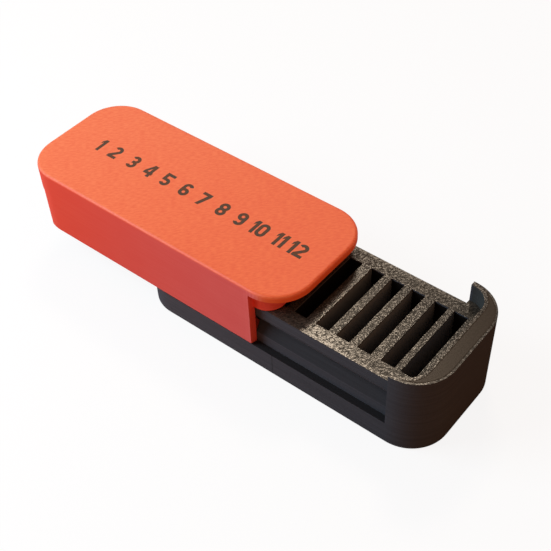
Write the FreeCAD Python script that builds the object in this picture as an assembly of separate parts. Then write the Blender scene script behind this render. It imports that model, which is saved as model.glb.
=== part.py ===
import FreeCAD, Part
import math
import os

# A sliding case for twelve coin cells, printed in two colours: a black drawer body that stands
# the cells on edge in a row of slots, and an orange cover that runs on it in two V grooves.
# Millimetres, +Z up. The origin is the middle of the body's underside, and +X points at the
# body's rim end. The cover is written half open, where the photograph shows it.

# The cells: how loosely each one stands in its slot, how far it stands out of the block, and
# the room left above it under the shut cover
cell_diameter = 20.0
cell_thickness = 3.2
slot_end_play = 0.55
slot_side_play = 0.15
cell_proud = 4.0
headroom = 1.0

# The row of slots, counted from the open end. A wide divider sets each group of slots apart,
# and the first and the last divider of the row are narrow.
slot_groups = (2, 3, 2, 3, 2)
divider = 2.0
wide_divider = 2.5
end_divider = 1.5
first_slot_to_end = 9.75
last_slot_to_end = 7.25

# The drawer body: a base, a narrower block on it, and an end block as wide as the base
slot_floor = 1.6
block_wall = 3.65
ledge = 2.3
base_height = 6.6
ledge_drop = 0.8
end_block = 10.0
corner_radius = 9.5
foot_chamfer = 0.4

# The V grooves in the block's two sides, with their points this high above the base
groove_above_base = 5.0
groove_opening = 5.6
groove_depth = 1.6

# The crescent rim on the end block, which the cover's plate lies over when it is shut
rim_end = 4.65
rim_side = 1.2
rim_inner_radius = 4.8

# The cover: a plate, shoulders that rest on the block, and side walls with a V rail inside each
plate = 1.8
plate_round = 0.8
wall_start = 5.7
slide_play = 0.15
side_play = 0.2
rail_tip_play = 0.5
nest_play = 0.4
channel_play = 1.2
opened = 36.5

# The numbers inlaid in the plate, each one over its slot when the cover is shut
digit_height = 4.4
digit_width = 2.65
one_width = 1.4
stroke = 0.9
digit_gap = 0.3
inlay_depth = 0.6
number_row = -0.2
open_end_angle = 25
neck_angle = 40

# How far a cut runs past the face that it opens
overrun = 1.0

# Places worked out from the sizes above
slot_width = cell_thickness + 2 * slot_side_play
slot_half = cell_diameter / 2 + slot_end_play
slot_count = sum(slot_groups)
dividers = sum(([divider] * (group - 1) + [wide_divider] for group in slot_groups), [])[:-1]
dividers[0] = dividers[-1] = end_divider
case_length = first_slot_to_end + slot_count * slot_width + sum(dividers) + last_slot_to_end
body_end = case_length / 2
block_half = slot_half + block_wall
half_width = block_half + ledge
recess_end = body_end - end_block
block_height = slot_floor + cell_diameter - cell_proud
groove_middle = base_height + groove_above_base
plate_low = block_height + cell_proud + headroom
plate_top = plate_low + plate
rim_top = plate_low - slide_play
shoulder_low = block_height + slide_play
wall_inner = block_half + side_play
wall_from = wall_start - body_end
wall_to = recess_end - slide_play
rail_depth = groove_depth + side_play - rail_tip_play
rail_opening = groove_opening * rail_depth / groove_depth
cell_above = slot_floor + cell_diameter / 2 - block_height
channel_half = math.sqrt(cell_diameter ** 2 / 4 - cell_above ** 2) + channel_play


def vec(x, y, z):
    return FreeCAD.Vector(x, y, z)


def box(x_low, x_high, y_low, y_high, z_low, z_high):
    """A block between two corners."""
    size = (x_high - x_low, y_high - y_low, z_high - z_low)
    return Part.makeBox(*size, vec(x_low, y_low, z_low))


def rounded_prism(x_low, x_high, half, radius, z_low, z_high):
    """An upright prism whose plan is a rectangle, centred on the X axis, with round corners."""
    corners = [(x_high, half), (x_low, half), (x_low, -half), (x_high, -half)]
    steps = [(-1, 0), (0, -1), (1, 0), (0, 1)]
    edges = []
    ends = []
    for turn, (x, y) in enumerate(corners):
        came, goes = steps[turn - 1], steps[turn]
        start = vec(x - came[0] * radius, y - came[1] * radius, z_low)
        end = vec(x + goes[0] * radius, y + goes[1] * radius, z_low)
        centre = vec(start.x + goes[0] * radius, start.y + goes[1] * radius, z_low)
        outward = (vec(x, y, z_low) - centre).normalize()
        edges.append(Part.Arc(start, centre + outward * radius, end).toShape())
        ends.append((start, end))
    for turn in range(len(corners)):
        edges.append(Part.makeLine(ends[turn - 1][1], ends[turn][0]))
    outline = Part.Wire(Part.__sortEdges__(edges))
    return Part.Face(outline).extrude(vec(0, 0, z_high - z_low))


def case_prism(z_low, z_high):
    """The case's own outline, which the body and the cover share when shut."""
    return rounded_prism(-body_end, body_end, half_width, corner_radius, z_low, z_high)


def side_bar(profile, x_low, x_high, side):
    """A bar along X from a profile of (distance from the middle plane, height) points."""
    points = [vec(x_low, side * across, up) for across, up in profile]
    outline = Part.makePolygon(points + points[:1])
    return Part.Face(outline).extrude(vec(x_high - x_low, 0, 0))


def v_shape(face, depth, opening):
    """A V that goes inward from a side face at the groove's height: two edges and a point."""
    return [(face, groove_middle - opening / 2), (face - depth, groove_middle),
            (face, groove_middle + opening / 2)]


def slot_middles():
    """The X of each slot's middle, from the open end to the rim."""
    middles = [first_slot_to_end + slot_width / 2 - body_end]
    for gap in dividers:
        middles.append(middles[-1] + slot_width + gap)
    return middles


def drawer_body():
    """The printed body: base, slotted block, and end block with the crescent rim."""
    base = case_prism(0, base_height)
    foot = [edge for edge in base.Edges if edge.BoundBox.ZMax < foot_chamfer]
    block = case_prism(base_height, block_height).common(
        box(-body_end, body_end, -block_half, block_half, base_height, block_height))
    end = case_prism(base_height, rim_top).common(
        box(recess_end, body_end, -half_width, half_width, base_height, rim_top))
    body = base.makeChamfer(foot_chamfer, foot).fuse([block, end]).removeSplitter()

    cuts = [rounded_prism(-body_end, body_end - rim_end, half_width - rim_side, rim_inner_radius,
                          block_height, rim_top + overrun)]
    slope = [(half_width, base_height), (block_half, base_height), (block_half, base_height - ledge_drop)]
    for side in (-1, 1):
        cuts.append(side_bar(slope, -body_end, recess_end, side))
        cuts.append(side_bar(v_shape(block_half, groove_depth, groove_opening), -body_end, recess_end, side))
    for x in slot_middles():
        cuts.append(box(x - slot_width / 2, x + slot_width / 2, -slot_half, slot_half,
                        slot_floor, block_height + overrun))
    return body.cut(cuts).removeSplitter()


def cover_wall(side):
    """A side wall with its V rail. Its foot slopes with the ledge that it runs over."""
    foot = base_height + slide_play
    inner_foot = foot - ledge_drop * (half_width - wall_inner) / ledge
    profile = [(half_width, shoulder_low), (half_width, foot), (wall_inner, inner_foot)]
    profile += v_shape(wall_inner, rail_depth, rail_opening) + [(wall_inner, shoulder_low)]
    return side_bar(profile, wall_from, wall_to, side)


def cover_blank():
    """The cover without its number pockets, shut."""
    top = case_prism(plate_low, plate_top)
    edges = [edge for edge in top.Edges if edge.BoundBox.ZMin > plate_low]
    top = top.makeFillet(plate_round, edges)

    shoulders = case_prism(shoulder_low, plate_low).common(
        box(-body_end, wall_to, -half_width, half_width, shoulder_low, plate_low))
    nose = rounded_prism(wall_from, body_end - rim_end - nest_play,
                         half_width - rim_side - nest_play, rim_inner_radius - nest_play,
                         shoulder_low, plate_low)
    channel = box(wall_from, body_end, -channel_half, channel_half, shoulder_low - overrun, plate_low)
    shoulders = shoulders.fuse(nose).cut(channel)
    walls = case_prism(0, shoulder_low).common([cover_wall(-1), cover_wall(1)])
    return top.fuse([shoulders, walls]).removeSplitter()


def flat(outline):
    """A flat polygon of a digit, lying at height zero."""
    points = [vec(x, y, 0) for x, y in outline]
    return Part.Face(Part.makePolygon(points + points[:1]))


def bar(x_low, x_high, y_low, y_high):
    """A straight stroke, level or upright."""
    return flat([(x_low, y_low), (x_high, y_low), (x_high, y_high), (x_low, y_high)])


def round_point(middle, reach, angle):
    """The point at an angle in degrees on a circle about a middle."""
    turn = math.radians(angle)
    return middle[0] + reach * math.cos(turn), middle[1] + reach * math.sin(turn)


def bow(middle, radius, start, sweep):
    """A round stroke: part of a ring, from one angle in degrees over a sweep to the left."""
    inner = radius - stroke
    half, stop = start + sweep / 2, start + sweep
    outside = [vec(*round_point(middle, radius, angle), 0) for angle in (start, half, stop)]
    inside = [vec(*round_point(middle, inner, angle), 0) for angle in (stop, half, start)]
    edges = [Part.Arc(*outside).toShape(), Part.makeLine(outside[2], inside[0]),
             Part.Arc(*inside).toShape(), Part.makeLine(inside[2], outside[0])]
    return Part.Face(Part.Wire(edges))


def figure_strokes():
    """The strokes of the figures 0 to 9, each from its own lower left corner."""
    wide, tall, pen = digit_width, digit_height, stroke
    bowl = wide / 2
    loop = (tall + pen) / 4
    low, high = (bowl, bowl), (bowl, tall - bowl)
    under, over = (bowl, loop), (bowl, tall - loop)
    open_sweep = 270 - open_end_angle
    upper_arch = bow(high, bowl, 0, 180)
    lower_arch = bow(low, bowl, 180, 180)
    left_side = bar(0, pen, bowl, tall - bowl)
    right_side = bar(wide - pen, wide, bowl, tall - bowl)
    hook = bow(low, bowl, open_end_angle - 180, open_sweep)
    top_bar = bar(0, wide, tall - pen, tall)
    one_left = one_width - pen
    flag = [(one_left, tall), (0, tall - pen), (0, tall - 2 * pen), (one_left, tall - 1.3 * pen)]
    two_leg = [(0, pen), round_point(high, bowl - pen, -neck_angle),
               round_point(high, bowl, -neck_angle), (1.4 * pen, pen)]
    post = wide - 1.3 * pen
    four_slope = (tall - 2 * pen) / (post - pen / 4)
    four_leg = [(0, 2 * pen), (0, pen), (0.9 * pen, pen), (0.9 * pen, 2 * pen),
                (post, 2 * pen + (post - 0.9 * pen) * four_slope), (post, tall), (post - pen / 4, tall)]
    seven_leg = [(pen / 2, 0), (1.6 * pen, 0), (wide, tall - pen), (wide - 1.2 * pen, tall - pen)]
    return [
        [upper_arch, lower_arch, left_side, right_side],
        [bar(one_left, one_width, 0, tall), flat(flag)],
        [bow(high, bowl, -neck_angle, 180 - open_end_angle + neck_angle), bar(0, wide, 0, pen),
         flat(two_leg)],
        [bow(over, loop, -90, open_sweep), bow(under, loop, open_end_angle - 180, open_sweep),
         bar(bowl - pen / 2, bowl, (tall - pen) / 2, (tall + pen) / 2)],
        [bar(0, wide, pen, 2 * pen), bar(post, post + pen, 0, tall), flat(four_leg)],
        [top_bar, bar(0, pen, wide - pen, tall), bar(0, bowl, wide - pen, wide), hook],
        [bow(low, bowl, 0, 180), lower_arch, left_side,
         bow(high, bowl, open_end_angle, 180 - open_end_angle)],
        [top_bar, flat(seven_leg)],
        [bow(middle, loop, start, 180) for middle in (over, under) for start in (0, 180)],
        [upper_arch, bow(high, bowl, 180, 180), right_side,
         bow(low, bowl, 180 + open_end_angle, 180 - open_end_angle)],
    ]


def inlaid_number(value, middle, strokes):
    """One number as solids that fill their pocket up to the plate's top face."""
    figures = [int(letter) for letter in str(value)]
    widths = [one_width if figure == 1 else digit_width for figure in figures]
    x = middle - (sum(widths) + digit_gap * (len(figures) - 1)) / 2
    solids = []
    for figure, width in zip(figures, widths):
        bars = [face.extrude(vec(0, 0, inlay_depth)) for face in strokes[figure]]
        shape = bars[0].fuse(bars[1:]).removeSplitter()
        shape.translate(vec(x, number_row - digit_height / 2, plate_top - inlay_depth))
        solids += shape.Solids
        x += width + digit_gap
    return Part.makeCompound(solids)


def main():
    os.makedirs("parts", exist_ok=True)
    strokes = figure_strokes()
    numbers = [inlaid_number(slot + 1, x, strokes) for slot, x in enumerate(slot_middles())]
    moving = {"sliding_cover": cover_blank().cut(numbers)}
    for slot, number in enumerate(numbers):
        moving["slot_number_%02d" % (slot + 1)] = number
    for shape in moving.values():
        shape.translate(vec(-opened, 0, 0))
    for name, shape in {"drawer_body": drawer_body(), **moving}.items():
        shape.exportStep("parts/%s.step" % name)
        print(name, len(shape.Solids), "solid", round(shape.Volume, 1), "mm3", shape.isValid())


main()
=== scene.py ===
# %% [markdown]
# # A sliding battery case, dressed for the studio
# The case is two plastic prints and a row of inlaid numbers. Its shapes and sizes are finished
# before this lesson starts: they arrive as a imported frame, in metres, and nothing here moves or
# reshapes them. What is left for Blender is how printed plastic looks: the lines that the nozzle
# lays on each face, the speckled sheen of a black top face, and soft light on both.

# %% Load the frame
import math

import bpy
from mathutils import Matrix, Vector


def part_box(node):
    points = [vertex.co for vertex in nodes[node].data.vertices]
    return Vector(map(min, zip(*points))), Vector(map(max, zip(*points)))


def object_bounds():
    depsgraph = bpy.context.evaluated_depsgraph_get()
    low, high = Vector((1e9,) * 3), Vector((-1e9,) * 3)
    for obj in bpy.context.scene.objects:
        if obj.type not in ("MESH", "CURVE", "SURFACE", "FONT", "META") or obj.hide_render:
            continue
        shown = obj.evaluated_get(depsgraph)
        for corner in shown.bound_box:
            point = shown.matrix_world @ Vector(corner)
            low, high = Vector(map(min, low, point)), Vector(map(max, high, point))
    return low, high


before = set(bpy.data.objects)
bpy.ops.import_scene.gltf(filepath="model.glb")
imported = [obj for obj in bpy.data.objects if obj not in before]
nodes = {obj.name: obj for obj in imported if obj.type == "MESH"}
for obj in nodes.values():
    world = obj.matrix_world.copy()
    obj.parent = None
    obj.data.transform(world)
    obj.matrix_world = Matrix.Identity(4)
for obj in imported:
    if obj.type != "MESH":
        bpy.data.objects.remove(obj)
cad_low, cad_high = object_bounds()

MM = 0.001
print("nodes:", ", ".join(sorted(nodes)))
print("whole case, mm:", [round(side / MM, 1) for side in cad_high - cad_low])

# %% [markdown]
# ## The camera
# A long lens looks down on the rim end of the case from the near right. The place and the lens
# come from matching the case's straight edges, so they are written as real sizes: where the
# camera stands, the point that it looks at, how far it leans, and a small shift for the framing.

# %% Place the camera
CAMERA_AT = Vector((98.2, -127.3, 183.9)) * MM
CAMERA_AIM = Vector((0.11, -6.91, 12.0)) * MM
CAMERA_LEAN = math.radians(1.63)
LENS_MM = 67.14
SHIFT = (-0.0387, 0.0700)
NEAREST = 10 * MM


def place_camera():
    data = bpy.data.cameras.new("product_camera")
    data.lens = LENS_MM
    data.shift_x, data.shift_y = SHIFT
    data.clip_start = NEAREST
    camera = bpy.data.objects.new("product_camera", data)
    bpy.context.scene.collection.objects.link(camera)
    look = (CAMERA_AIM - CAMERA_AT).to_track_quat("-Z", "Y").to_matrix()
    lean = Matrix.Rotation(-CAMERA_LEAN, 3, "Z")
    camera.matrix_world = Matrix.Translation(CAMERA_AT) @ (look @ lean).to_4x4()
    bpy.context.scene.camera = camera


place_camera()
print("camera to aim, mm:", round((CAMERA_AIM - CAMERA_AT).length / MM))

# %% [markdown]
# ## Shader sums in Python
# A printed face is easiest to describe with sums: a wave along one direction, a mask, a mix.
# Wiring each sum by hand hides it in boxes, so one small class wraps a socket and lets Python's
# operators add the Math nodes. Vectors go through Vector Math and colours through Mix, because
# a Math node would turn them grey. Every other node comes from the one method `node`. It finds
# a socket by its label, or by its number where a node has several of one label: on a Mix node
# the factor is 0, the two colours are 6 and 7, and the mixed colour is output 2.

# %% A socket that can be used in sums


class Wire:
    """An output socket of a shader node."""

    def __init__(self, tree, socket=None):
        self.tree = tree
        self.socket = socket

    def node(self, kind, settings=None, sockets=None, output=0):
        """Adds a node: its settings first, then the values or links of its sockets."""
        made = self.tree.nodes.new(kind)
        for name, value in (settings or {}).items():
            setattr(made, name, value)
        for name, value in (sockets or {}).items():
            if isinstance(value, Wire):
                self.tree.links.new(value.socket, made.inputs[name])
            else:
                made.inputs[name].default_value = value
        return Wire(self.tree, made.outputs[output])

    def maths(self, operation, *values):
        """A Math node, or a Vector Math node where one of the values is a vector."""
        types = [value.socket.type for value in values if isinstance(value, Wire)]
        vector = "VECTOR" in types
        kind = "ShaderNodeVectorMath" if vector else "ShaderNodeMath"
        sockets = {}
        for place, value in enumerate(values):
            plain = isinstance(value, (int, float))
            sockets[place] = (value,) * 3 if vector and plain else value
        return self.node(kind, {"operation": operation}, sockets)

    def __add__(self, other):
        return self.maths("ADD", self, other)

    def __sub__(self, other):
        return self.maths("SUBTRACT", self, other)

    def __mul__(self, other):
        return self.maths("MULTIPLY", self, other)

    def __gt__(self, other):
        return self.maths("GREATER_THAN", self, other)

    def __lt__(self, other):
        return self.maths("LESS_THAN", self, other)

    def __abs__(self):
        return self.maths("ABSOLUTE", self)

    def __radd__(self, other):
        return self.maths("ADD", other, self)

    def __rsub__(self, other):
        return self.maths("SUBTRACT", other, self)

    def __rmul__(self, other):
        return self.maths("MULTIPLY", other, self)

    def at_least(self, other):
        return self.maths("MAXIMUM", self, other)

    def at_most(self, other):
        return self.maths("MINIMUM", self, other)

    def within(self, low, high):
        """1 between low and high, and 0 elsewhere."""
        return (self > low) * (self < high)

    def parts(self):
        """The X, Y and Z of a vector."""
        split = self.node("ShaderNodeSeparateXYZ", sockets={0: self}).socket.node
        return [Wire(self.tree, socket) for socket in split.outputs]

    def tint(self, first, second):
        """A mix of two colours, by this value from 0 to 1."""
        first, second = [(*c, 1) if isinstance(c, tuple) else c for c in (first, second)]
        return self.node("ShaderNodeMix", {"data_type": "RGBA"}, {0: self, 6: first, 7: second}, 2)

    def smooth_step(self, low, high):
        """0 below low, 1 above high, and a soft slope between."""
        return self.node("ShaderNodeMapRange", {"interpolation_type": "SMOOTHSTEP"},
                         {"Value": self, "From Min": low, "From Max": high})


print("operators ready")

# %% [markdown]
# ## Starting a material
# Every finish begins the same way: a principled shader, and the print's own coordinates, which
# move with the piece. With the room's coordinates the pattern would swim over the cover as it
# slides. What varies over a surface is linked to its socket, and what is the same all over is a
# plain value on it.

# %% Start and join a material


def start_material(name):
    """A new material with its wire, its principled shader, and the print's own coordinates."""
    material = bpy.data.materials.new(name)
    material.use_nodes = True
    wire = Wire(material.node_tree)
    shader = material.node_tree.nodes["Principled BSDF"]
    place = wire.node("ShaderNodeTexCoord", output="Object")
    return material, wire, shader, place


def join(wire, shader, sockets):
    """Links wires to the shader's sockets, and sets plain values on the others."""
    for name, value in sockets.items():
        if isinstance(value, Wire):
            wire.tree.links.new(value.socket, shader.inputs[name])
        else:
            shader.inputs[name].default_value = value


print("materials can start")

# %% [markdown]
# ## What a nozzle leaves behind
# A printed side shows layers, each 0.2 mm high, as faint level lines. A printed top shows the
# last layer's strokes: a few lines that follow the edge, and slanting lines that fill the middle.
# They could be modelled as real ridges, but a ridge a tenth of a millimetre high would need
# millions of faces, so they are drawn in the material. All of them are the same rounded wave,
# taken along a different direction, and soft noise makes them uneven.

# %% The rounded wave and the grain
LAYER = 0.2 * MM
LINE = 0.42 * MM
RELIEF_DEPTH = 0.05 * MM
RELIEF_STRENGTH = 0.5


def bead(along, pitch):
    """The rounded back of each line laid side by side: 0 in the seam and 1 on the crown."""
    turn = along * (math.pi / pitch)
    return abs(turn.maths("SINE", turn))


def grain(place, size, detail=2.0, stretch=(1, 1, 1)):
    """Soft noise with features about as large as size, longer where stretch is under 1."""
    scaled = place.maths("MULTIPLY", place, stretch)
    return place.node("ShaderNodeTexNoise", {"noise_dimensions": "3D"},
                      {"Vector": scaled, "Scale": 1 / size, "Detail": detail})


def relief(height, strength=RELIEF_STRENGTH):
    """A bump made from a height between 0 and 1."""
    return height.node("ShaderNodeBump", sockets={"Strength": strength, "Distance": RELIEF_DEPTH,
                                                  "Height": height})


print("layers of", LAYER / MM, "mm and lines of", LINE / MM, "mm")

# %% [markdown]
# ## Finding a place on the print
# Each mark lies somewhere: on faces that look up, along an outline, across the slanting strokes.
# A mask painted by hand would need an unwrapped mesh. These helpers work from the place and from
# the way a face looks, so the shapes stay as they arrived, and the marks are sharp at any size.

# %% Faces, slants and outlines
DIAGONAL = math.sqrt(0.5)


def facing(wire):
    """How far a face looks towards the rim end, and how far it looks up, from -1 to 1."""
    x, _, z = wire.node("ShaderNodeNewGeometry", output="Normal").parts()
    return x, z


def slanted(place):
    """The place turned by 45 degrees, and how far across the filling strokes it lies."""
    x, y, z = place.parts()
    across, along = (x - y) * DIAGONAL, (x + y) * DIAGONAL
    return place.node("ShaderNodeCombineXYZ", sockets={0: across, 1: along, 2: z}), across


def inset(x, y, reach, half, radius):
    """How far a point lies in from an outline with round corners, as a printer's edge lines do."""
    past_x, past_y = x - (reach - radius), abs(y) - (half - radius)
    out_x, out_y = past_x.at_least(0), past_y.at_least(0)
    round_part = out_x.maths("SQRT", out_x * out_x + out_y * out_y)
    return radius - round_part - past_x.at_least(past_y).at_most(0)


print("strokes slant by", round(math.degrees(math.acos(DIAGONAL))), "degrees")

# %% [markdown]
# ## Level bands on the sides
# Where the plastic flowed a little more or less, a print's side has level bands, a few layers
# high, that are slightly lighter or darker. Noise that is stretched fifty times along the level
# gives them. They are mixed in with Soft Light, which leaves the colour as it is where the shade
# is a half, so light and dark bands even out.

# %% Bands and their shade
BAND_SIZE = 0.42 * MM
BAND_STRETCH = (0.02, 0.02, 1)
BAND_EDGES = (0.3, 0.7)


def banded(place):
    """1 on a light band and 0 on a dark one."""
    return grain(place, BAND_SIZE, stretch=BAND_STRETCH).smooth_step(*BAND_EDGES)


def shaded(colour, shade, amount):
    """The colour made darker where shade is under a half, and lighter where it is over."""
    grey = shade.tint((0.0, 0.0, 0.0), (1.0, 1.0, 1.0))
    return shade.node("ShaderNodeMix", {"data_type": "RGBA", "blend_type": "SOFT_LIGHT"},
                      {0: amount, 6: colour, 7: grey}, 2)


print("bands stretch", round(BAND_SIZE / BAND_STRETCH[0] / MM), "mm along the side")

# %% [markdown]
# ## Orange print: where its faces lie
# The cover's colour changes with its faces, so their places come first: the underside of the
# plate, the foot of the shoulders, the inner face of the walls, and the round corners. They are
# the sizes of the finished solid.

# %% Faces of the cover
PLATE_LOW = 22.6 * MM
SHOULDER_LOW = 17.6 * MM
WALL_INNER = 14.5 * MM
CORNER_RADIUS = 9.5 * MM
cover_low, cover_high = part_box("sliding_cover")
cover_middle = (cover_low + cover_high) / 2
print("cover, mm:", [round(side / MM, 1) for side in cover_high - cover_low])

# %% [markdown]
# ## Orange print: its colour
# The orange is painted lighter on top, for the light that its slanting lines catch, and deeper
# and redder on its sides, and the top's painted sheen fades towards the right. The sides pale
# towards the rim end. The faces that look to the rim end and the plate's end carry painted light,
# a painted highlight runs along the plate's rounded edge, and the wall's inner face is painted in
# shade where it runs against the black body. It is all one plastic, so it is one material.
# Separate materials on separate faces would meet in hard lines, while slopes between the colours
# follow the rounded edge of the plate.

# %% Orange colour
# The top colours hold painted light: lighter than the sides, and deeper to the right as the painted
# sheen fades.
TOP_LEFT = (0.82, 0.166, 0.062)
TOP_RIGHT = (0.79, 0.122, 0.034)
SIDE_LEFT = (0.90, 0.089, 0.051)
SIDE_RIGHT = (0.82, 0.138, 0.126)
# Painted light on the faces that look towards the rim end.
END_RED_PAINTED_LIGHT = (0.98, 0.125, 0.090)
# Painted light on the plate's end edge.
PLATE_END_PAINTED_LIGHT = (0.95, 0.160, 0.050)
# A painted highlight along the plate's rounded edge.
PAINTED_EDGE_GLINT = (0.93, 0.158, 0.085)
# Painted shade on the wall's inner face and its rails.
INNER_RED_PAINTED_SHADE = (0.22, 0.022, 0.010)
TURNS_UP = (0.15, 0.6)
TURNS_TO_END = (0.3, 0.8)
PLATE_TURNS = (0.0, 0.5)
GLINT_RISES = (0.35, 0.55)
GLINT_FALLS = (0.7, 0.9)
GLINT_LEAVES = (0.0, 0.4)
WALL_FROM = 1.0 * MM
WALL_TO = 0.05 * MM


def on_wall(y):
    """1 on the outer face of a side wall, and 0 on the faces inside it."""
    return abs(y).smooth_step(cover_high.y - WALL_FROM, cover_high.y - WALL_TO)


def orange_colour(place, across, up):
    """The cover's colour with painted light and shade: side and top, each changing to the right,
    and a painted glint on the edge.
    """
    x, y, z = place.parts()
    right = x.smooth_step(cover_low.x, cover_high.x)
    side = (right * on_wall(y)).tint(SIDE_LEFT, SIDE_RIGHT)
    # painted light on the faces that look towards the rim end
    side = across.smooth_step(*TURNS_TO_END).tint(side, END_RED_PAINTED_LIGHT)
    # painted light on the plate's end edge
    side = ((z > PLATE_LOW) * across.smooth_step(*PLATE_TURNS)).tint(side, PLATE_END_PAINTED_LIGHT)
    # painted shade on the wall's inner face and its rails
    side = ((abs(y) < WALL_INNER) * (z < SHOULDER_LOW)).tint(side, INNER_RED_PAINTED_SHADE)
    # the top is painted lighter than the sides, and its painted sheen fades to the right
    colour = up.smooth_step(*TURNS_UP).tint(side, right.tint(TOP_LEFT, TOP_RIGHT))
    # a painted highlight along the plate's rounded edge
    glint = up.smooth_step(*GLINT_RISES) * (1 - up.smooth_step(*GLINT_FALLS)) * (z > PLATE_LOW)
    return (glint * (1 - across.smooth_step(*GLINT_LEAVES))).tint(colour, PAINTED_EDGE_GLINT)


print("orange on top:", TOP_LEFT, "and on its sides:", SIDE_LEFT)

# %% [markdown]
# ## Orange print: its lines
# The plate's last layer has two lines along its outline and slanting strokes inside them. The
# side walls ripple a little near the cut-out, as prints do beside a sharp corner. The lines
# serve twice: as a shade, which shows from afar, and as a relief, which catches the lamp.

# %% Lines on the orange
EDGE_LINES = 2.2
STROKE_SIZE = 0.4 * MM
STROKE_DETAIL = 3.0
STROKE_STRETCH = (1, 0.3, 1)
STROKE_EDGES = (0.3, 0.7)
RIPPLE = 0.9 * MM
RIPPLE_FROM = 12 * MM
RIPPLE_TO = 8 * MM


def plate_lines(place):
    """The last layer's lines, which follow the outline at the plate's edge, and its strokes."""
    x, y, _ = place.parts()
    half = cover_high - cover_middle
    edge = inset(abs(x - cover_middle.x), y, half.x, half.y, CORNER_RADIUS)
    on_edge = edge < EDGE_LINES * LINE
    turned, slant = slanted(place)
    lines = bead(slant, LINE) * (1 - on_edge) + bead(edge, LINE) * on_edge
    strokes = grain(turned, STROKE_SIZE, STROKE_DETAIL, STROKE_STRETCH)
    return lines, strokes.smooth_step(*STROKE_EDGES)


def wall_ripple(place):
    """Upright ripples on the side walls, just before the cut-out."""
    x, y, _ = place.parts()
    near_end = x.smooth_step(cover_high.x - RIPPLE_FROM, cover_high.x - RIPPLE_TO)
    return bead(x, RIPPLE) * near_end * on_wall(y)


print("edge lines cover", round(EDGE_LINES * LINE / MM, 2), "mm")

# %% [markdown]
# ## Orange print: the finish
# The shade is a sum of the marks, each with its own weight. A wide, faint mottle stands for
# plastic that isn't quite even. The plastic is matt: its own reflection is nearly off, and a
# rough clear coat on top faces alone gives the soft sheen of the strokes.

# %% Orange plastic
MOTTLE_SIZE = 6 * MM
MOTTLE_SHADE = 0.3
STROKE_SHADE = 0.55
LINE_SHADE = 0.15
RIPPLE_SHADE = 0.7
LAYER_SHADE = 0.2
BAND_SHADE = 0.15
SIDE_SHADE = 0.03
ORANGE_SHADING = 0.32
ORANGE_ROUGHNESS = 0.5
MOTTLE_ROUGHNESS = 0.12
TOP_COAT = 0.6
TOP_RELIEF = 0.5
LAYER_RELIEF = 0.35
RIPPLE_RELIEF = 0.3


def orange_plastic():
    material, wire, shader, place = start_material("orange_plastic")
    across, up = facing(wire)
    top = up.smooth_step(*TURNS_UP)
    lines, strokes = plate_lines(place)
    ripple = wall_ripple(place)
    layers = bead(place.parts()[2], LAYER)
    mottle = grain(place, MOTTLE_SIZE)
    on_side = ripple * RIPPLE_SHADE + layers * LAYER_SHADE + banded(place) * BAND_SHADE + SIDE_SHADE
    on_top = strokes * STROKE_SHADE + lines * LINE_SHADE
    shade = mottle * MOTTLE_SHADE + on_top * top + on_side * (1 - top)
    height = (lines + strokes) * top * TOP_RELIEF
    height = height + layers * (1 - top) * LAYER_RELIEF + ripple * RIPPLE_RELIEF
    join(wire, shader, {
        "Base Color": shaded(orange_colour(place, across, up), shade, ORANGE_SHADING),
        "Roughness": ORANGE_ROUGHNESS + MOTTLE_ROUGHNESS * mottle,
        "Normal": relief(height),
        "Specular IOR Level": 0.03,
        "Coat Weight": top * TOP_COAT,
        "Coat Roughness": 0.5,
    })
    return material


orange = orange_plastic()
print("orange plastic has", len(orange.node_tree.nodes), "nodes")

# %% [markdown]
# ## Black print: where its faces lie
# Black plastic shows its finish by its sheen more than by its colour, so most of the work is to
# say where each sheen lies. The block's top is above one height and the rim's top above another,
# the slots end a little way inside the block's sides, and the rim's inner edge is an outline
# with its own round corners.

# %% Zones of the body
BLOCK_TOP_FROM = 17.2 * MM
RIM_TOP_FROM = 22.0 * MM
FOOT = 1.0 * MM
SLOT_HALF = 10.6 * MM
BLOCK_HALF = 14.2 * MM
RIM_END = 4.65 * MM
RIM_SIDE = 1.2 * MM
RIM_RADIUS = 4.8 * MM
body_low, body_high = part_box("drawer_body")
print("body, mm:", [round(side / MM, 1) for side in body_high - body_low])

# %% [markdown]
# ## Black print: the strokes on the block
# The block's top was laid in short slanting strokes, with straight ones along each divider and
# two lines along its edges. Each stroke glints by itself, so from afar they look like
# brown-grey speckle. Noise with a steep slope gives grains with clear edges, fine ones between
# longer ones that follow the stroke. A plain noise without the slope would look like fog.

# %% Strokes on the block's top
FINE_SIZE = 0.26 * MM
FINE_EDGES = (0.44, 0.70)
GRAIN_SIZE = 0.34 * MM
GRAIN_DETAIL = 1.0
SLANT_STRETCH = (1, 0.45, 1)
SLANT_EDGES = (0.40, 0.68)
STRAIGHT_STRETCH = (1, 0.25, 1)
STRAIGHT_EDGES = (0.42, 0.68)
FILL_PITCH = 1.0 * MM
GRAIN_SHARE = 0.8
FINE_ON_STRIP = 0.5
FINE_ON_DIVIDER = 0.8
EXTRA_LINE = 0.2


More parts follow.
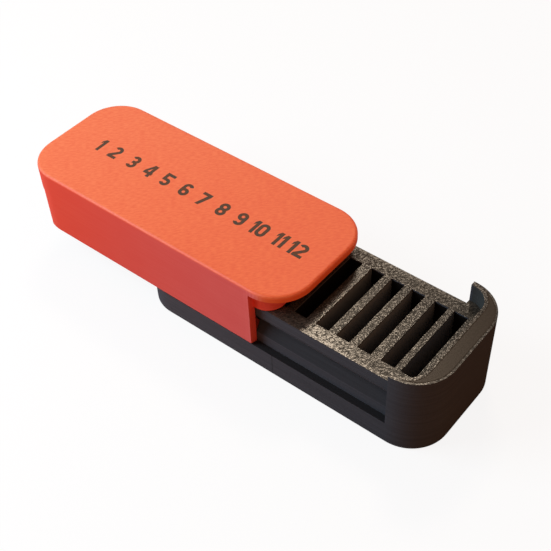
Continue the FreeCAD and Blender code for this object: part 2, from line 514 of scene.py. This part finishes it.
def block_strokes(place, divider, rim_band):
    """Strokes from 0 to 1, which slant on the strips and run along each divider."""
    x, y, _ = place.parts()
    turned, slant = slanted(place)
    fine = grain(place, FINE_SIZE, GRAIN_DETAIL).smooth_step(*FINE_EDGES)
    slanting = grain(turned, GRAIN_SIZE, GRAIN_DETAIL, SLANT_STRETCH).smooth_step(*SLANT_EDGES)
    slanting = slanting * GRAIN_SHARE + bead(slant, FILL_PITCH) * (1 - GRAIN_SHARE)
    straight = grain(place, GRAIN_SIZE, GRAIN_DETAIL, STRAIGHT_STRETCH).smooth_step(*STRAIGHT_EDGES)
    straight = straight * GRAIN_SHARE + bead(x, LINE) * (1 - GRAIN_SHARE)
    edge_lines = bead(BLOCK_HALF - abs(y), LINE) * (abs(y) > BLOCK_HALF - EDGE_LINES * LINE)
    strip = fine * FINE_ON_STRIP + slanting * (1 - FINE_ON_STRIP)
    strip = strip + edge_lines * EXTRA_LINE + rim_band * fine * EXTRA_LINE
    on_divider = fine * FINE_ON_DIVIDER + straight * (1 - FINE_ON_DIVIDER)
    return strip * (1 - divider) + on_divider * divider


print("grains of", FINE_SIZE / MM, "and", GRAIN_SIZE / MM, "mm")

# %% [markdown]
# ## Black print: where the strokes are polished
# The strokes aren't all as shiny. They glint more on the strips beside the slots, most of all on
# the near one, and on the dividers up to the first that the half-open cover leaves bare. The
# strips' gloss fades towards the rim, where the far strip is the dullest. It multiplies the
# strokes, which keeps their pattern.

# %% Gloss of the strokes
GLOSS_FROM = 8.0 * MM
GLOSS_TO = 26.0 * MM
DIVIDER_FADE = 3.5 * MM
NEAR_STRIP_GLOSS = 0.68
STRIP_GLOSS = 0.22
FAR_STRIP_DULL = 0.12
DIVIDER_GLOSS = 0.6


def stroke_gloss(place, divider):
    """How many times brighter than usual the strokes glint."""
    x, y, z = place.parts()
    strips = (y < -SLOT_HALF) * NEAR_STRIP_GLOSS + (abs(y) > SLOT_HALF) * STRIP_GLOSS
    dulled = x.smooth_step(GLOSS_FROM, GLOSS_TO)
    far_strip = dulled * (y > SLOT_HALF) * FAR_STRIP_DULL
    on_strips = ((1 - dulled) * strips - far_strip) * (z < RIM_TOP_FROM)
    past_first = x.smooth_step(GLOSS_FROM, GLOSS_FROM + DIVIDER_FADE)
    return 1 + on_strips + (1 - past_first) * DIVIDER_GLOSS * divider


print("gloss fades over", round((GLOSS_TO - GLOSS_FROM) / MM), "mm")

# %% [markdown]
# ## Black print: the rim's lines
# The rim's top is smoother than the block. It was printed as a line along its outer edge, a
# calm band, and a grainy line along its inner edge, with a dark seam beside each line. All of
# them follow the two outlines of the rim, so two insets make every mask.

# %% Lines on the rim
OUTER_LINE = 0.5 * MM
INNER_BAND = 0.8 * MM
DARK_SEAM = 0.2 * MM


def rim_marks(x, y, rim):
    """Masks of the rim's outer line, inner band, calm middle and dark seams."""
    outer = inset(abs(x), y, body_high.x, body_high.y, CORNER_RADIUS)
    inner = 0 - inset(x, y, body_high.x - RIM_END, body_high.y - RIM_SIDE, RIM_RADIUS)
    line = rim * (outer < OUTER_LINE)
    band = rim * (inner < INNER_BAND)
    calm = rim - line.at_least(band)
    by_line = outer.within(OUTER_LINE, OUTER_LINE + DARK_SEAM)
    by_band = inner.within(INNER_BAND, INNER_BAND + DARK_SEAM)
    return line, band, calm, rim * by_line.at_least(by_band)


print("rim, mm:", RIM_END / MM, "wide at the end and", RIM_SIDE / MM, "wide at its sides")

# %% [markdown]
# ## Black print: its sides
# The sides are smooth and dull. Their colour holds painted light: lighter on the left and darker
# and faintly blue towards the rim. The two flanks of the V groove differ by painted light: the
# lower one is painted in shade and the upper one with the light it would catch from the floor. The
# rim's inner wall is painted in shade, and an upright seam, where every layer began, crosses the
# near side of the base. Each colour is laid over the last where its mask is 1.

# %% Colours of the sides
# Painted light: the sides lighter on the left, darker and faintly blue towards the rim.
SIDE_LEFT_BLACK = (0.090, 0.080, 0.088)
SIDE_RIGHT_BLACK = (0.059, 0.062, 0.072)
# Painted shade on the groove's lower flank.
GROOVE_LOW_PAINTED_SHADE = (0.038, 0.038, 0.042)
# Painted light from the floor on the groove's upper flank.
GROOVE_HIGH_PAINTED_LIGHT = (0.098, 0.106, 0.130)
# Painted shade on the rim's inner wall.
RIM_WALL_PAINTED_SHADE = (0.050, 0.051, 0.049)
SEAM_BLACK = (0.045, 0.045, 0.048)
FLANK_UP = (0.3, 0.8)
FLANK_DOWN = (-0.8, -0.3)
SEAM_AT = 0.3 * MM
SEAM_HALF = 0.12 * MM
BLACK_BANDS = 0.08


def black_sides(place, across, up):
    """The colour, with painted light and shade, of every upright face outside the slots, and of the
    groove's flanks.
    """
    x, y, z = place.parts()
    # painted light: lighter on the left, darker and bluer towards the rim
    sides = x.smooth_step(body_low.x, body_high.x).tint(SIDE_LEFT_BLACK, SIDE_RIGHT_BLACK)
    # painted shade on the groove's lower flank
    sides = (up.within(*FLANK_UP) * (z < BLOCK_TOP_FROM)).tint(sides, GROOVE_LOW_PAINTED_SHADE)
    # painted light from the floor on the groove's upper flank
    sides = (up.within(*FLANK_DOWN) * (z > FOOT)).tint(sides, GROOVE_HIGH_PAINTED_LIGHT)
    # painted shade on the rim's inner wall
    sides = ((across < 0.0) * (z > BLOCK_TOP_FROM)).tint(sides, RIM_WALL_PAINTED_SHADE)
    sides = ((abs(x - SEAM_AT) < SEAM_HALF) * (y < -BLOCK_HALF)).tint(sides, SEAM_BLACK)
    return shaded(sides, banded(place), BLACK_BANDS)


print("seam is", 2 * SEAM_HALF / MM, "mm wide")

# %% [markdown]
# ## Black print: inside the slots
# A slot is deep and narrow, so little light reaches its walls, and that light is painted into
# their colours. The long wall that looks towards the rim is painted with the most of it, and the
# wall that faces it, the two short ends and the floor are painted in shade. In the slots under the
# cover, and in the first one beside it, that long wall is painted dark as well.

# %% Painted light and shade inside the slots
# Painted light on the long wall that looks towards the rim.
SLOT_WALL_PAINTED_LIGHT = (0.135, 0.175, 0.210)
# Painted shade on the wall that faces it.
SLOT_WALL_PAINTED_SHADE = (0.030, 0.030, 0.031)
# Painted shade on the short ends and the floors.
SLOT_END_PAINTED_SHADE = (0.008, 0.006, 0.005)
SLOT_LIT_FROM = 2.0 * MM
SLOT_LIT_TO = 9.0 * MM
SQUARE_ON = 0.9


def slot_walls(x, across):
    """The slots' walls, painted lighter or in shade by the way that each one looks."""
    # painted light on the long wall that looks towards the rim, painted shade elsewhere
    lit = (across > SQUARE_ON) * x.smooth_step(SLOT_LIT_FROM, SLOT_LIT_TO)
    return (across < -SQUARE_ON).tint(lit.tint(SLOT_END_PAINTED_SHADE, SLOT_WALL_PAINTED_LIGHT), SLOT_WALL_PAINTED_SHADE)


print("slot walls lighten from", SLOT_LIT_FROM / MM, "to", SLOT_LIT_TO / MM, "mm")

# %% [markdown]
# ## Black print: the finish
# The clear coat carries the sheen: its weight grows with the square of the strokes, which keeps
# the dark ones dark and lets a few glint. Squaring is softer than a second, steeper slope. The
# plastic's own reflection is off, because a white room in it would turn the black to grey. The
# base colour holds painted sheen as well, in the bright grains and the rim's brown band, and
# painted shade on the ledge and the slot floors.

# %% Black plastic
SKIN_DARK = (0.016, 0.013, 0.010)
# Bright grains: the print's grain, brightened with painted sheen.
SKIN_GRAIN_AND_SHEEN = (0.080, 0.064, 0.048)
# Painted sheen: the rim's calm band in warm brown.
RIM_PAINTED_SHEEN = (0.046, 0.034, 0.023)
# Painted shade on the ledge beside the block.
LEDGE_PAINTED_SHADE = (0.025, 0.024, 0.025)
TURNS_FLAT = (0.6, 0.9)
CALM_SHARE = 0.8
LEAST_SHEEN = 0.06
STROKE_SHEEN = 0.84
CALM_SHEEN = 0.10
LINE_SHEEN = 0.06
SEAM_SHEEN = 0.1
SIDE_RELIEF = 0.4
STROKE_RELIEF = 0.6


def black_plastic():
    material, wire, shader, place = start_material("black_plastic")
    x, y, z = place.parts()
    across, up = facing(wire)
    top = up.smooth_step(*TURNS_FLAT)
    skin = top * (z > BLOCK_TOP_FROM)
    divider = (abs(y) < SLOT_HALF) * (z < RIM_TOP_FROM)
    in_slot = (abs(y) < SLOT_HALF) * (z < BLOCK_TOP_FROM) * (abs(x) < body_high.x - RIM_END)
    line, band, calm, seam = rim_marks(x, y, skin * (z > RIM_TOP_FROM))
    strokes = block_strokes(place, divider, band)

    # painted light and shade on the slots' walls
    sides = in_slot.tint(black_sides(place, across, up), slot_walls(x, across))
    # the ledge in painted shade, and the grains brightened with painted sheen
    flats = skin.tint(LEDGE_PAINTED_SHADE, strokes.tint(SKIN_DARK, SKIN_GRAIN_AND_SHEEN))
    # the rim's calm band in painted sheen, and the slot floors in painted shade
    flats = (calm * CALM_SHARE).tint(in_slot.tint(flats, SLOT_END_PAINTED_SHADE), RIM_PAINTED_SHEEN)

    glint = strokes * stroke_gloss(place, divider)
    sheen = (LEAST_SHEEN + STROKE_SHEEN * glint * glint) * (1 - calm)
    sheen = sheen + calm * CALM_SHEEN + line * LINE_SHEEN - seam * SEAM_SHEEN
    height = bead(z, LAYER) * (1 - top) * SIDE_RELIEF
    height = height + strokes * skin * (1 - CALM_SHARE * calm) * STROKE_RELIEF
    join(wire, shader, {
        "Base Color": top.tint(sides, flats),
        "Roughness": 0.55,
        "Normal": relief(height),
        "Specular IOR Level": 0.0,
        "Coat Weight": skin * sheen.at_most(1.0),
        "Coat Roughness": 0.22,
    })
    return material


black = black_plastic()
print("black plastic has", len(black.node_tree.nodes), "nodes")

# %% [markdown]
# ## Dark inlay
# The numbers are thin islands of dark plastic in the orange. Where a stroke is thin, the orange
# shows through and warms it to brown. Real depth of colour would ask for light that travels
# inside the plastic, which is slow to render. Patches of two tones give the same look here.

# %% Inlay plastic
INLAY_BROWN = (0.125, 0.056, 0.030)
INLAY_GREY = (0.078, 0.062, 0.047)
PATCH_SIZE = 0.9 * MM
PATCH_EDGES = (0.4, 0.6)
INLAY_GRAIN = 0.25 * MM
INLAY_RELIEF = 0.3
INLAY_ROUGHNESS = 0.5
GRAIN_ROUGHNESS = 0.1


def inlay_plastic():
    material, wire, shader, place = start_material("dark_inlay")
    patches = grain(place, PATCH_SIZE).smooth_step(*PATCH_EDGES)
    fine = grain(place, INLAY_GRAIN)
    join(wire, shader, {
        "Base Color": patches.tint(INLAY_BROWN, INLAY_GREY),
        "Roughness": INLAY_ROUGHNESS + GRAIN_ROUGHNESS * fine,
        "Normal": relief(fine, INLAY_RELIEF),
        "Specular IOR Level": 0.05,
    })
    return material


inlay = inlay_plastic()
print("dark inlay has", len(inlay.node_tree.nodes), "nodes")

# %% [markdown]
# ## Each plastic on its print
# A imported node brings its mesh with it, so a finish is put on by filling its material slot. The
# body and the cover each have a plastic of their own, and every other node is a number.

# %% Put each plastic on its print


def dress(node, material):
    node.data.materials.clear()
    node.data.materials.append(material)


for name, node in nodes.items():
    finish = {"drawer_body": black, "sliding_cover": orange}.get(name, inlay)
    dress(node, finish)
print("dressed", len(nodes), "pieces")

# %% [markdown]
# ## The studio: what a ray is for
# A plain white room would light the case evenly and look dull. A room with a bright and a dim
# side would show behind the case. Both are had at once by asking each ray what it is for: the
# rays that show the room, from the camera, in a reflection or through glass, find it white, and
# the rays that light the case find its real tones.

# %% What a ray is for


def seen_white(wire):
    """1 for the rays that show the room: from the camera, in a reflection or through glass."""
    path = wire.node("ShaderNodeLightPath").socket.node
    kinds = ("Is Camera Ray", "Is Glossy Ray", "Is Transmission Ray")
    camera_ray, glossy_ray, glass_ray = (Wire(wire.tree, path.outputs[kind]) for kind in kinds)
    return camera_ray + glossy_ray + glass_ray


print("white for camera, reflection and glass rays")

# %% [markdown]
# ## The studio: the floor
# The floor is a warm brown to the rays that light the case, so that it doesn't wash out the
# black, and nearly white to the eye. It glows for the most part and is matt for the rest, and
# the matt part holds the case's shadow. A plain white plane would show its far edge, so further
# out this one glows alone and meets the white sky with no line between them.

# %% Floor
FLOOR_HALF = 3.0
FLOOR_SEEN = (0.95, 0.95, 0.95)
FLOOR_LIT = (0.30, 0.20, 0.14)
FLOOR_GLOW_SHARE = 0.88
FADE_FROM = 0.15
FADE_TO = 0.60


def floor_white():
    material = bpy.data.materials.new("floor_white")
    material.use_nodes = True
    tree = material.node_tree
    wire = Wire(tree)
    tree.nodes.remove(tree.nodes["Principled BSDF"])
    lit = wire.node("ShaderNodeBsdfDiffuse", sockets={"Color": (*FLOOR_LIT, 1)})
    matte = wire.node("ShaderNodeBsdfDiffuse", sockets={"Color": (*FLOOR_SEEN, 1)})
    glow = wire.node("ShaderNodeEmission", sockets={"Strength": 1.0})
    x, y, _ = wire.node("ShaderNodeTexCoord", output="Object").parts()
    squared = x * x + y * y
    far = squared.maths("SQRT", squared).smooth_step(FADE_FROM, FADE_TO)
    share = FLOOR_GLOW_SHARE + (1 - FLOOR_GLOW_SHARE) * far
    white = wire.node("ShaderNodeMixShader", sockets={0: share, 1: matte, 2: glow})
    both = wire.node("ShaderNodeMixShader", sockets={0: seen_white(wire), 1: lit, 2: white})
    tree.links.new(both.socket, tree.nodes["Material Output"].inputs["Surface"])
    return material


def make_floor():
    mesh = bpy.data.meshes.new("studio_floor")
    corners = [(x * FLOOR_HALF, y * FLOOR_HALF, 0) for x, y in ((-1, -1), (1, -1), (1, 1), (-1, 1))]
    mesh.from_pydata(corners, [], [(0, 1, 2, 3)])
    floor = bpy.data.objects.new("studio_floor", mesh)
    bpy.context.scene.collection.objects.link(floor)
    dress(floor, floor_white())


make_floor()
print("floor is", 2 * FLOOR_HALF, "m wide")

# %% [markdown]
# ## The studio: the sky
# Light from all around fills the shadows. One colour all round would leave both ends of the case
# alike. This light is cool on the left, as from a window, and warm and a little stronger on the
# right, which gives the right end its brown tone.

# %% Sky
SKY_LEFT = (0.26, 0.28, 0.32)
SKY_RIGHT = (0.56, 0.25, 0.12)
SKY_TURN = 0.6


def make_sky():
    world = bpy.data.worlds.new("studio_sky")
    bpy.context.scene.world = world
    world.use_nodes = True
    tree = world.node_tree
    wire = Wire(tree)
    x, _, _ = wire.node("ShaderNodeTexCoord", output="Generated").parts()
    tone = x.smooth_step(-SKY_TURN, SKY_TURN).tint(SKY_LEFT, SKY_RIGHT)
    lit = wire.node("ShaderNodeBackground", sockets={"Color": tone, "Strength": 1.0})
    white = wire.node("ShaderNodeBackground", sockets={"Color": (1, 1, 1, 1), "Strength": 1.0})
    both = wire.node("ShaderNodeMixShader", sockets={0: seen_white(wire), 1: lit, 2: white})
    tree.links.new(both.socket, tree.nodes["World Output"].inputs["Surface"])


make_sky()
print("sky from", SKY_LEFT, "to", SKY_RIGHT)

# %% [markdown]
# ## The studio: two lamps
# A square lamp on the left, in front of the case and above it, does most of the work, as a
# window would. A warm lamp, further away, stands high behind the case on the left, where the top
# faces mirror it towards the camera, and so it draws their sheen. Each is an area lamp, because
# a point or a sun would give hard shadows and a sheen with sharp edges.

# %% Lamps
WINDOW = {"way": (-0.61, -0.52, 0.60), "away": 0.36, "size": (0.22, 0.22), "watts": 1.25,
          "colour": (0.67, 0.86, 1.0)}
SHEEN = {"way": (-0.335, 0.525, 0.783), "away": 0.95, "size": (0.22, 0.17), "watts": 2.6,
         "colour": (1.0, 0.81, 0.60)}


def make_lamp(name, aim, way, away, size, watts, colour):
    data = bpy.data.lights.new(name, "AREA")
    data.shape = "RECTANGLE"
    data.size, data.size_y = size
    data.energy = watts
    data.color = colour
    lamp = bpy.data.objects.new(name, data)
    bpy.context.scene.collection.objects.link(lamp)
    place = aim + Vector(way).normalized() * away
    turn = (aim - place).to_track_quat("-Z", "Y").to_matrix().to_4x4()
    lamp.matrix_world = Matrix.Translation(place) @ turn


centre = (cad_low + cad_high) / 2
make_lamp("window_lamp", centre, **WINDOW)
make_lamp("sheen_lamp", centre, **SHEEN)
bpy.context.scene.view_settings.view_transform = "Standard"
print("lamps of", WINDOW["watts"], "and", SHEEN["watts"], "W")
